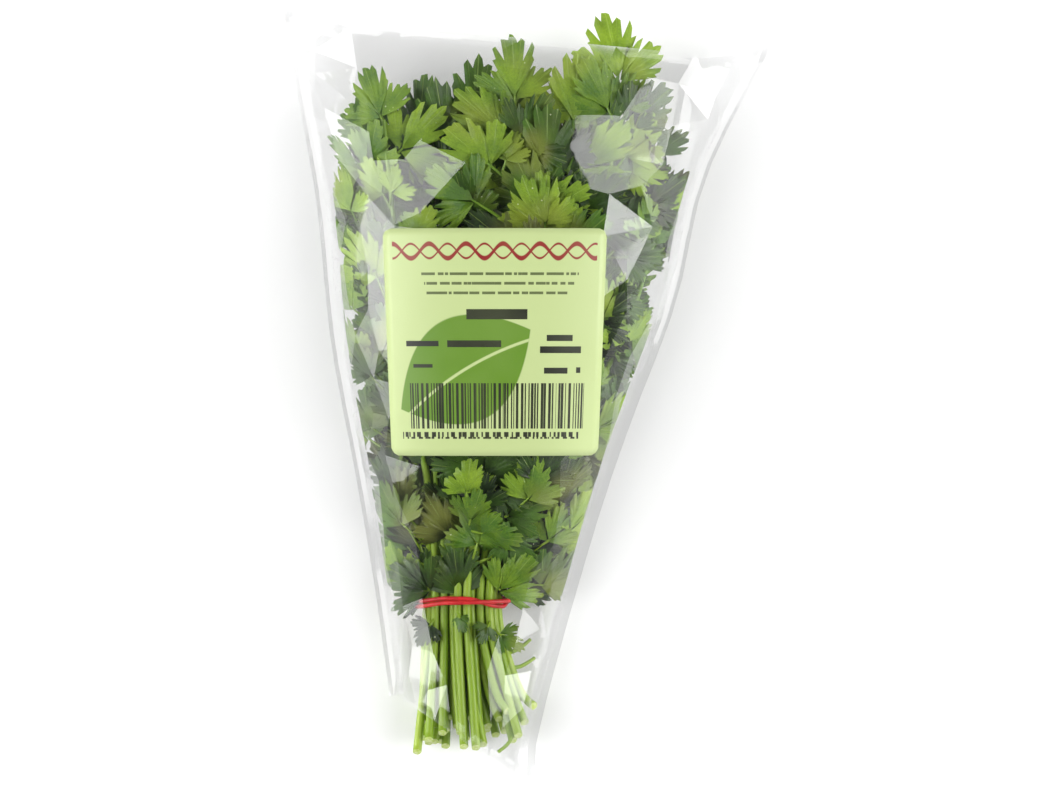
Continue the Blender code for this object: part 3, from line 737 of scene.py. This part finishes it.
def addFillers(shape, k, stalkTone, chance):
    for base, spot, size in fillers[k]:
        away = (spot - base).normalized()
        forward = (away + Vector((chance.uniform(-0.5, 0.5), 0.5, chance.uniform(-0.3, 0.2)))).normalized()
        middle = Vector((along(bundle["middle"], spot.y), spot.y, 22))
        sway = Vector((chance.uniform(-0.5, 0.5), chance.uniform(-0.4, 0.4), 0))
        facing = (Vector((0, 0, 1)) + 0.02 * (spot - middle) + sway).normalized()
        start = keepInside(spot - forward * size * 0.4)
        place = leafFrame(dict(base=start, forward=forward, facing=facing, stalk=0))
        # the tone includes painted shade for leaves deep in the bunch
        tone = leafToneAndShade(spot, chance)
        thick = sprigStyle["sideStalk"] * filler["thin"]
        addSideStalk(shape, base, place, 0.12 * size, stalkTone * sprigStyle["sideTone"], thick)
        addLeaf(shape, place, size, tone, chance)


def looseEnd(route, chance):  # the cut ends spread a little and are not quite level
    (end, thick), (second, _) = route[:2]
    shift = Vector([chance.uniform(*looseEnds[way]) for way in ("aside", "along", "up")])
    shift.x += looseEnds["fan"] * (end.x - along(bundle["middle"], end.y))
    across, up = looseEnds["follow"]
    part = Vector((shift.x * across, 0, shift.z * up))
    return [(end + shift, thick * looseEnds["thicker"]), (second + part, thick)] + route[2:]


def raiseLow(place):  # the lowest leaves lie on top of the stalks, not between them
    spot = place.translation
    aside = (spot.x - along(bundle["middle"], spot.y)) / (along(bundle["halfWidth"], spot.y) + stalk["radius"])
    if abs(aside) < 1:
        depth = along(bundle["halfDepth"], spot.y) * math.sqrt(1 - aside * aside)
        spot.z = max(spot.z, along(bundle["lift"], spot.y) + depth + stalk["radius"] + sprigStyle["lowLift"])


def addExtraLeaf(shape, leaf, place, tone, side, stalkTone, chance):  # a small leaf below a larger one
    size = chance.uniform(*sprigStyle["extraSize"])
    middle = leaf["base"].lerp(place.translation, chance.uniform(0.2, 0.8))
    turn = Matrix.Rotation(side * chance.uniform(0.7, 1.5), 4, "Z")
    turn = turn @ Matrix.Rotation(chance.uniform(-0.6, 0.6), 4, "X")
    turn = turn @ Matrix.Rotation(chance.uniform(-0.5, 0.3), 4, "Y")
    lower = place.to_3x3().to_4x4() @ turn
    offset = lower.to_3x3() @ Vector((chance.uniform(3, 7), 0, 0))
    lower.translation = keepInside(middle + offset + Vector((0, 0, chance.uniform(-3, 3))))
    addSideStalk(shape, middle, lower, 0.1 * size, stalkTone, sprigStyle["sideStalk"] * 0.75)
    addLeaf(shape, lower, size, tone + chance.uniform(-0.16, 0.12), chance)


def makePiece(shape, name, materials, crease=None):
    mesh = bpy.data.meshes.new(name)
    shape.to_mesh(mesh)
    shape.free()
    for material in materials:
        mesh.materials.append(material)
    if crease is not None:
        mesh.set_sharp_from_angle(angle=crease)
    return bpy.data.objects.new(name, mesh)


def makeSprig(k, materials):
    chance = random.Random(sprigStyle["seed"] + k)
    shape = bmesh.new()
    shape.verts.layers.float.new("tone")
    shape.verts.layers.float.new("rib")
    stalkTone = chance.uniform(0.2, 1)
    route = looseEnd(routes[k], chance)
    count = max(1, round((route[-1][0] - route[0][0]).length / len(route) / sprigStyle["stepLength"]))
    cut = materialOrder["cut"]
    rollTube(shape, smoothRoute(route, count + 1), sprigStyle["sides"], sprigStyle["groove"], stalkTone, cut)
    for owner, shoot in shoots:
        if owner == k:
            rollTube(shape, smoothRoute(shoot, 4), sprigStyle["shootSides"], 0, chance.uniform(0.5, 0.9), cut)
    sideTone = stalkTone * sprigStyle["sideTone"]
    heroX, heroY = sprigStyle["heroPlace"]
    for n, leaf in enumerate(leaves[k]):
        place = leafFrame(leaf)
        # the tone includes painted shade for leaves deep in the bunch
        tone = leafToneAndShade(place @ Vector((0.4 * leaf["size"], 0, 0)), chance)
        tone += sprigStyle["topTone"] if n == 0 else 0
        size = leaf["size"] * sprigStyle["leafGrow"]
        if n == 0 and leaf["base"].x > heroX and leaf["base"].y > heroY:
            size, tone = size * sprigStyle["heroSize"], sprigStyle["heroTone"]
        elif size < sprigStyle["lowSize"]:
            size *= sprigStyle["lowShrink"]
            raiseLow(place)
        addSideStalk(shape, leaf["base"], place, 0.14 * leaf["size"], sideTone, sprigStyle["sideStalk"])
        addLeaf(shape, place, size, tone, chance)
        if n and leaf["base"].y > bundle["tie"] + 8:
            for extra in range(sprigStyle["extraLeaves"]):
                addExtraLeaf(shape, leaf, place, tone, 1 if extra % 2 else -1, sideTone, chance)
    addFillers(shape, k, stalkTone, chance)
    return makePiece(shape, "parsleySprig_%02d" % (k + 1), materials, sprigStyle["crease"])


def finishPiece(piece, slot, *nodes):
    bpy.context.scene.collection.objects.link(piece)
    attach(piece, "root")
    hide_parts(*nodes)


sprigMaterials = [makeLeafMaterial(), makeStalkMaterial(), makeCutMaterial()]
for k in range(len(routes)):
    finishPiece(makeSprig(k, sprigMaterials), "leaf", "sprig_%02d" % (k + 1))
print("sprigs made")

# Film sleeve.
filmSheet = {"across": 10, "rows": 19, "stray": 0.33, "cuts": 1, "finGap": 0.35, "fin": 3.2, "lift": 0.7,
             "crumple": 2.3, "calm": 0.16, "thickness": 0.12, "smoothing": 0.1, "crease": 0.05, "seed": 11}
filmLook = {"tint": (0.982, 0.982, 0.982, 1), "mirror": 0.04, "gloss": (0.015, 0.05), "smearScale": 70,
            "wrinkle": 0.12, "wrinkleDepth": 0.0004}
labelSheet = {"centre": (-11.2, 18.5), "width": (72, 78), "length": 79, "lift": 1.2, "thickness": 0.18,
              "cells": (30, 30), "corner": 3.0, "ripple": 0.25, "calmRoom": (42, 43)}


def filmStations():  # share of the width, side of the seam gap and fin reach, once round the sleeve
    count = filmSheet["across"]
    shares = [0.5 - 0.5 * math.cos(math.pi * (0.04 + 0.92 * k / count)) for k in range(count + 1)]
    shares[0], shares[-1] = 0.0, 1.0
    front = [(share, 1, 0) for share in shares]
    back = [(share, -1, 0) for share in reversed(shares)]
    return [(0.0, 0, -1)] + front + [(1.0, 0, 1)] + back + [(0.0, 0, -1)]


def addWall(piece, thickness):
    wall = piece.modifiers.new("wall", "SOLIDIFY")
    wall.thickness, wall.offset = thickness * mm, 0
    return piece


def makeFilm():
    chance = random.Random(filmSheet["seed"])
    stations = filmStations()
    rows = filmSheet["rows"]
    shape = bmesh.new()
    made = bmesh.ops.create_grid(shape, x_segments=rows, y_segments=len(stations) - 1, size=0.5)["verts"]
    labelX, labelY = labelSheet["centre"]
    roomX, roomY = labelSheet["calmRoom"]
    stray = filmSheet["stray"]
    for vert in made:
        r = round((vert.co.x + 0.5) * rows)
        s = round((vert.co.y + 0.5) * (len(stations) - 1))
        share, side, finSide = stations[s]
        row = r / rows
        free = side and 0 < share < 1
        if free:
            share += chance.uniform(-stray, stray) * (stations[s + 1][0] - stations[s - 1][0]) * 0.5
        if free and 0 < r < rows:
            row += chance.uniform(-stray, stray) / rows
        place = sleevePlace(row, share)
        x = acrossAt(share, place)
        if side == 0:
            vert.co = Vector((x + finSide * filmSheet["fin"], place, along(sleeve["seamHeight"], place))) * mm
            continue
        z = (frontHeight if side > 0 else backHeight)(share, place)
        gap = filmSheet["finGap"] * side
        if free:
            nearLabel = max(abs(x - labelX) - roomX, abs(place - labelY) - roomY)
            calm = filmSheet["calm"] + (1 - filmSheet["calm"]) * smoothStep(0, 6, nearLabel)
            middle = 0.45 + 0.55 * smoothStep(0.12, 0.32, abs(share - 0.5))
            gap = (filmSheet["lift"] + filmSheet["crumple"] * chance.random() * calm * middle) * side
        vert.co = Vector((x, place, max(0.15, z + gap))) * mm
    bmesh.ops.remove_doubles(shape, verts=shape.verts, dist=1e-7)
    bmesh.ops.triangulate(shape, faces=shape.faces[:], quad_method="SHORT_EDGE")
    bmesh.ops.subdivide_edges(shape, edges=shape.edges[:], cuts=filmSheet["cuts"], use_grid_fill=True)
    inner = [vert for vert in shape.verts if not vert.is_boundary]
    bmesh.ops.smooth_vert(shape, verts=inner, factor=filmSheet["smoothing"], use_axis_x=True, use_axis_y=True,
                          use_axis_z=True)
    bmesh.ops.recalc_face_normals(shape, faces=shape.faces[:])
    for face in shape.faces:
        face.smooth = True
    piece = makePiece(shape, "sleeveFilm", [makeFilmMaterial()], filmSheet["crease"])
    return addWall(piece, filmSheet["thickness"])


def makeFilmMaterial():
    material, tree, shader = newMaterial("clearFilm")
    tree.nodes.remove(shader)
    sockets = {"Vector": stretched(tree, (1, 0.4, 1)), "Scale": filmLook["smearScale"], "Detail": 3}
    soft = addNode(tree, "TexNoise", sockets).outputs["Fac"]
    sockets = {"Strength": filmLook["wrinkle"], "Distance": filmLook["wrinkleDepth"], "Height": soft}
    bump = addNode(tree, "Bump", sockets).outputs[0]
    smear = ramp(tree, soft, 0.3, 0.7, *filmLook["gloss"])
    clear = addNode(tree, "BsdfTransparent", {"Color": filmLook["tint"]}).outputs[0]
    sockets = {"Color": (1, 1, 1, 1), "Roughness": smear, "Normal": bump}
    gloss = addNode(tree, "BsdfGlossy", sockets).outputs[0]
    facing = addNode(tree, "LayerWeight", {"Blend": 0.5, "Normal": bump}).outputs["Facing"]
    facing = calc(tree, "POWER", facing, 5.0)  # more mirror at a glancing angle
    facing = ramp(tree, facing, 0.0, 1.0, filmLook["mirror"], 1.0, smooth=False)
    shadow = addNode(tree, "LightPath").outputs["Is Shadow Ray"]
    facing = times(tree, facing, minus(tree, 1.0, shadow))  # thin film dims no light
    sheet = addNode(tree, "MixShader", {0: facing, 1: clear, 2: gloss}).outputs[0]
    tree.links.new(sheet, tree.nodes["Material Output"].inputs["Surface"])
    return material


finishPiece(makeFilm(), "film", "sleeve")
print("sleeve made")


# Paper label.
labelLook = {"paper": paint(190, 206, 143), "leaf": paint(98, 138, 38), "leafRib": paint(190, 206, 143),
             "garland": paint(140, 22, 30), "text": paint(92, 104, 62), "ink": paint(28, 30, 22),
             "faded": 0.06, "roughness": (0.34, 0.5),
             "grain": {"scale": 1500, "patchScale": 40, "relief": 0.35, "depth": 0.0001}}
# Places on the label run from 0 to 1, rightwards and upwards. A box is its left, right, lower and upper edge.
labelPrint = {
    "leafCentre": (0.36, 0.38), "leafTurn": (0.87, 0.5), "leafTaper": 1.9, "leafEdge": (0.232, 0.240),
    "ribBow": 0.35, "ribEdge": (0.004, 0.009), "garlandLevel": 0.90, "garlandRate": 38.0, "garlandSwing": 0.032,
    "garlandEdges": ((0.008, 0.013), (0.003, 0.007)), "garlandBox": (0.04, 0.96, 0.8, 0.99),
    "lines": ((0.16, 0.88, 0.80), (0.18, 0.86, 0.758), (0.19, 0.83, 0.716)), "lineHalf": 0.006,
    "dashRate": 11.0, "dashEdge": (0.36, 0.38), "rowRate": 24.0, "rowStep": 7.3,
    "blocks": ((0.37, 0.65, 0.600, 0.645), (0.28, 0.53, 0.478, 0.508), (0.09, 0.24, 0.482, 0.506),
               (0.74, 0.86, 0.505, 0.532), (0.71, 0.90, 0.452, 0.482), (0.73, 0.84, 0.362, 0.388),
               (0.88, 0.90, 0.365, 0.390), (0.12, 0.21, 0.388, 0.404)),
    "barRate": 17.0, "barEdge": (0.49, 0.5), "barBox": (0.10, 0.92, 0.12, 0.32),
    "tickEdge": (0.46, 0.5), "tickBox": (0.06, 0.9, 0.075, 0.105),
}


def labelBox(tree, u, v, u0, u1, v0, v1):  # 1 inside a plain block of print
    across = calc(tree, "COMPARE", u, (u0 + u1) / 2)
    across.node.inputs[2].default_value = (u1 - u0) / 2
    down = calc(tree, "COMPARE", v, (v0 + v1) / 2)
    down.node.inputs[2].default_value = (v1 - v0) / 2
    return times(tree, across, down)


def makeStreaks(tree, place):  # a row of uneven stripes
    sockets = {"W": place, "Detail": 0}
    return addNode(tree, "TexNoise", sockets, noise_dimensions="1D").outputs["Fac"]


def makeLeafMark(tree, u, v):  # masks of a plain pointed leaf and of its middle rib
    x = minus(tree, u, labelPrint["leafCentre"][0])
    y = minus(tree, v, labelPrint["leafCentre"][1])
    cosine, sine = labelPrint["leafTurn"]
    long = plus(tree, times(tree, x, cosine), times(tree, y, sine))
    wide = minus(tree, times(tree, y, cosine), times(tree, x, sine))
    square = times(tree, long, long)
    taper = times(tree, square, labelPrint["leafTaper"])
    edge = plus(tree, calc(tree, "ABSOLUTE", wide), taper)
    leafMark = ramp(tree, edge, *labelPrint["leafEdge"], 1.0, 0.0)
    bow = plus(tree, wide, times(tree, square, labelPrint["ribBow"]))
    rib = ramp(tree, calc(tree, "ABSOLUTE", bow), *labelPrint["ribEdge"], 1.0, 0.0)
    return leafMark, times(tree, rib, leafMark)


def makeGarland(tree, u, v):  # two waves that cross each other
    sine = calc(tree, "SINE", times(tree, u, labelPrint["garlandRate"]))
    wave = times(tree, sine, labelPrint["garlandSwing"])
    height = minus(tree, v, labelPrint["garlandLevel"])
    garland = 0.0
    for way, edge in zip(("SUBTRACT", "ADD"), labelPrint["garlandEdges"]):
        swing = calc(tree, "ABSOLUTE", calc(tree, way, height, wave))
        garland = calc(tree, "MAXIMUM", garland, ramp(tree, swing, *edge, 1.0, 0.0))
    return times(tree, garland, labelBox(tree, u, v, *labelPrint["garlandBox"]))


def makeLabelMaterial():
    material, tree, shader = newMaterial("labelPaper")
    sheet = addNode(tree, "UVMap", uv_map="sheet").outputs[0]
    point = addNode(tree, "SeparateXYZ", {0: sheet}).outputs
    u, v = point["X"], point["Y"]
    grain = addGrain(tree, objectPoint(tree), **labelLook["grain"])
    leafMark, rib = makeLeafMark(tree, u, v)
    lines = 0.0
    half = labelPrint["lineHalf"]
    for left, right, level in labelPrint["lines"]:
        lines = calc(tree, "MAXIMUM", lines, labelBox(tree, u, v, left, right, level - half, level + half))
    row = calc(tree, "FLOOR", times(tree, v, labelPrint["rowRate"]))
    row = times(tree, row, labelPrint["rowStep"])
    dash = makeStreaks(tree, plus(tree, times(tree, u, labelPrint["dashRate"]), row))
    lines = times(tree, lines, ramp(tree, dash, *labelPrint["dashEdge"]))
    ink = 0.0
    for block in labelPrint["blocks"]:
        ink = calc(tree, "MAXIMUM", ink, labelBox(tree, u, v, *block))
    stripes = makeStreaks(tree, times(tree, u, labelPrint["barRate"]))
    for source, name in ((stripes, "bar"), (dash, "tick")):
        box = labelBox(tree, u, v, *labelPrint[name + "Box"])
        marks = times(tree, ramp(tree, source, *labelPrint[name + "Edge"]), box)
        ink = calc(tree, "MAXIMUM", ink, marks)
    colour = labelLook["paper"]
    for mask, name in ((leafMark, "leaf"), (rib, "leafRib"), (lines, "text"),
                       (makeGarland(tree, u, v), "garland"), (ink, "ink")):
        colour = blendColour(tree, mask, colour, labelLook[name])
    faded = times(tree, grain["Patch"], labelLook["faded"])
    colour = blendColour(tree, faded, colour, labelLook["paper"])
    finishSurface(tree, shader, colour, grain, labelLook["roughness"])
    return material


def makeLabel():
    across, down = labelSheet["cells"]
    shape = bmesh.new()
    uvs = shape.loops.layers.uv.new("sheet")
    bmesh.ops.create_grid(shape, x_segments=across, y_segments=down, size=0.5)
    for face in shape.faces:
        face.smooth = True
        for loop in face.loops:
            loop[uvs].uv = (loop.vert.co.x + 0.5, loop.vert.co.y + 0.5)
    low, high = labelSheet["width"]
    corner = labelSheet["corner"]
    for vert in shape.verts:
        u, v = vert.co.x, vert.co.y
        width = low + (high - low) * (v + 0.5)
        x, y = u * width, v * labelSheet["length"]
        overX = abs(x) - (width / 2 - corner)
        overY = abs(y) - (labelSheet["length"] / 2 - corner)
        if overX > 0 and overY > 0:  # the square corner drawn in to a round one
            reach = math.hypot(overX, overY)
            pull = max(overX, overY) / reach
            x -= math.copysign(overX * (1 - pull), x)
            y -= math.copysign(overY * (1 - pull), y)
        x, y = x + labelSheet["centre"][0], y + labelSheet["centre"][1]
        ripple = labelSheet["ripple"] * noise.noise(Vector((x * 0.05, y * 0.05, 3)))
        vert.co = Vector((x, y, frontHeight(shareOf(x, y), y) + labelSheet["lift"] + ripple)) * mm
    return addWall(makePiece(shape, "paperLabel", [makeLabelMaterial()]), labelSheet["thickness"])


finishPiece(makeLabel(), "paper", "label")
print("label made")

# Rubber band.
bandLoop = {"radius": 0.78, "wind": 0.95, "clearance": 2.1, "dip": 1.4, "slip": 2.4, "steps": 168, "sides": 12,
            "red": paint(222, 44, 48), "dark": paint(176, 22, 32), "roughness": (0.3, 0.48),
            "grain": {"scale": 1800, "patchScale": 200, "relief": 0.4, "depth": 0.0002}}


def makeBandMaterial():
    material, tree, shader = newMaterial("redRubber")
    grain = addGrain(tree, objectPoint(tree), **bandLoop["grain"])
    colour = blendColour(tree, grain["Patch"], bandLoop["red"], bandLoop["dark"])
    finishSurface(tree, shader, colour, grain, bandLoop["roughness"])
    return material


def makeBand():  # one loop wound twice, its winds crossing on the right
    tie = bundle["tie"]
    halfWidth = along(bundle["halfWidth"], tie) + stalk["radius"] + bandLoop["clearance"]
    halfDepth = along(bundle["halfDepth"], tie) + stalk["radius"] + bandLoop["clearance"]
    middle = Vector((along(bundle["middle"], tie), tie, along(bundle["lift"], tie)))
    steps = bandLoop["steps"]
    line = []
    for k in range(steps + 1):
        turn = 4 * math.pi * k / steps
        grow = bandLoop["wind"] * math.sin(turn / 2 + math.pi / 2)
        x = (halfWidth + grow) * math.cos(turn)
        y = bandLoop["wind"] * math.cos(turn / 2 + math.pi / 2)
        z = (halfDepth + grow) * math.sin(turn)
        y -= bandLoop["dip"] * smoothStep(0.3, 1, -math.cos(turn))
        if turn > 2 * math.pi:  # the second wind slips down at the front right
            y -= bandLoop["slip"] * smoothStep(0, 0.5, math.sin(turn)) * smoothStep(0.1, 0.8, math.cos(turn))
        line.append(middle + Vector((x, y, z)))
    shape = bmesh.new()
    made = bmesh.ops.create_grid(shape, x_segments=steps, y_segments=bandLoop["sides"], size=0.5)["verts"]
    for vert in made:
        k = round((vert.co.x + 0.5) * steps) % steps
        run = (line[k + 1] - line[k - 1 if k else steps - 1]).normalized()
        out = tubeSide(run, Vector((0, 1, 0)), 2 * math.pi * (vert.co.y + 0.5))
        vert.co = (line[k] + out * bandLoop["radius"]) * mm
    bmesh.ops.remove_doubles(shape, verts=shape.verts, dist=1e-7)
    bmesh.ops.recalc_face_normals(shape, faces=shape.faces[:])
    for face in shape.faces:
        face.smooth = True
    return makePiece(shape, "rubberBand", [makeBandMaterial()])


finishPiece(makeBand(), "rubber", "rubber_band")
print("band made")

# Floor and light.
studio = {"floorSize": 3.0, "floor": 0.94, "floorGlow": 0.12, "horizon": 1.0, "above": 0.26, "zenith": 0.04,
          "lowSky": (0.12, 0.45), "highSky": (0.45, 0.9),
          "floorGrain": {"scale": 300, "patchScale": 4, "relief": 0.1, "depth": 0.0001},
          "sideBox": (0.8, 1.4), "sidePlace": (0.95, 0.05, 0.75), "sidePower": 12,
          "lowBox": (0.5, 1.3), "lowPlace": (1.2, -0.15, 0.3), "lowPower": 6.5,
          "topBox": (1.2, 1.2), "topPlace": (-0.35, 0.6, 1.5), "topPower": 0.8}


def makeFloor():
    shape = bmesh.new()
    bmesh.ops.create_grid(shape, x_segments=1, y_segments=1, size=studio["floorSize"] / 2)
    material, tree, shader = newMaterial("paleFloor")
    grain = addGrain(tree, objectPoint(tree), **studio["floorGrain"])
    level = studio["floor"]
    pale = blendColour(tree, grain["Patch"], (level, level, level, 1), (level * 0.995, level * 0.995, level, 1))
    tree.links.new(pale, shader.inputs["Base Color"])
    shader.inputs["Roughness"].default_value = 1
    shader.inputs["Emission Color"].default_value = (1, 1, 1, 1)
    shader.inputs["Emission Strength"].default_value = studio["floorGlow"]
    shader.inputs["Specular IOR Level"].default_value = 0
    floor = makePiece(shape, "floor", [material])
    bpy.context.scene.collection.objects.link(floor)


def makeBox(name, size, place, power, seen):
    box = bpy.data.lights.new(name, "AREA")
    box.shape = "RECTANGLE"
    box.size, box.size_y = size
    box.energy = power
    light = bpy.data.objects.new(name, box)
    light.location = place
    light.rotation_euler = (-Vector(place)).to_track_quat("-Z", "Y").to_euler()
    light.visible_glossy = seen
    bpy.context.scene.collection.objects.link(light)


def makeWorld():
    world = bpy.data.worlds.new("studio")
    world.use_nodes = True
    tree = world.node_tree
    sky = tree.nodes["Background"]
    sky.inputs["Color"].default_value = (1, 1, 1, 1)
    way = addNode(tree, "TexCoord").outputs["Generated"]
    height = addNode(tree, "SeparateXYZ", {0: way}).outputs["Z"]
    low = ramp(tree, height, *studio["lowSky"], studio["horizon"], studio["above"])
    high = ramp(tree, height, *studio["highSky"], 1, studio["zenith"] / studio["above"])
    tree.links.new(times(tree, low, high), sky.inputs["Strength"])
    bpy.context.scene.world = world


makeFloor()
for level in ("side", "low"):
    x, y, z = studio[level + "Place"]
    for name, across in (("LeftBox", -x), ("RightBox", x)):
        makeBox(level + name, studio[level + "Box"], (across, y, z), studio[level + "Power"], True)
makeBox("topBox", studio["topBox"], studio["topPlace"], studio["topPower"], False)
makeWorld()
bpy.context.scene.view_settings.view_transform = "Standard"
print("studio made")
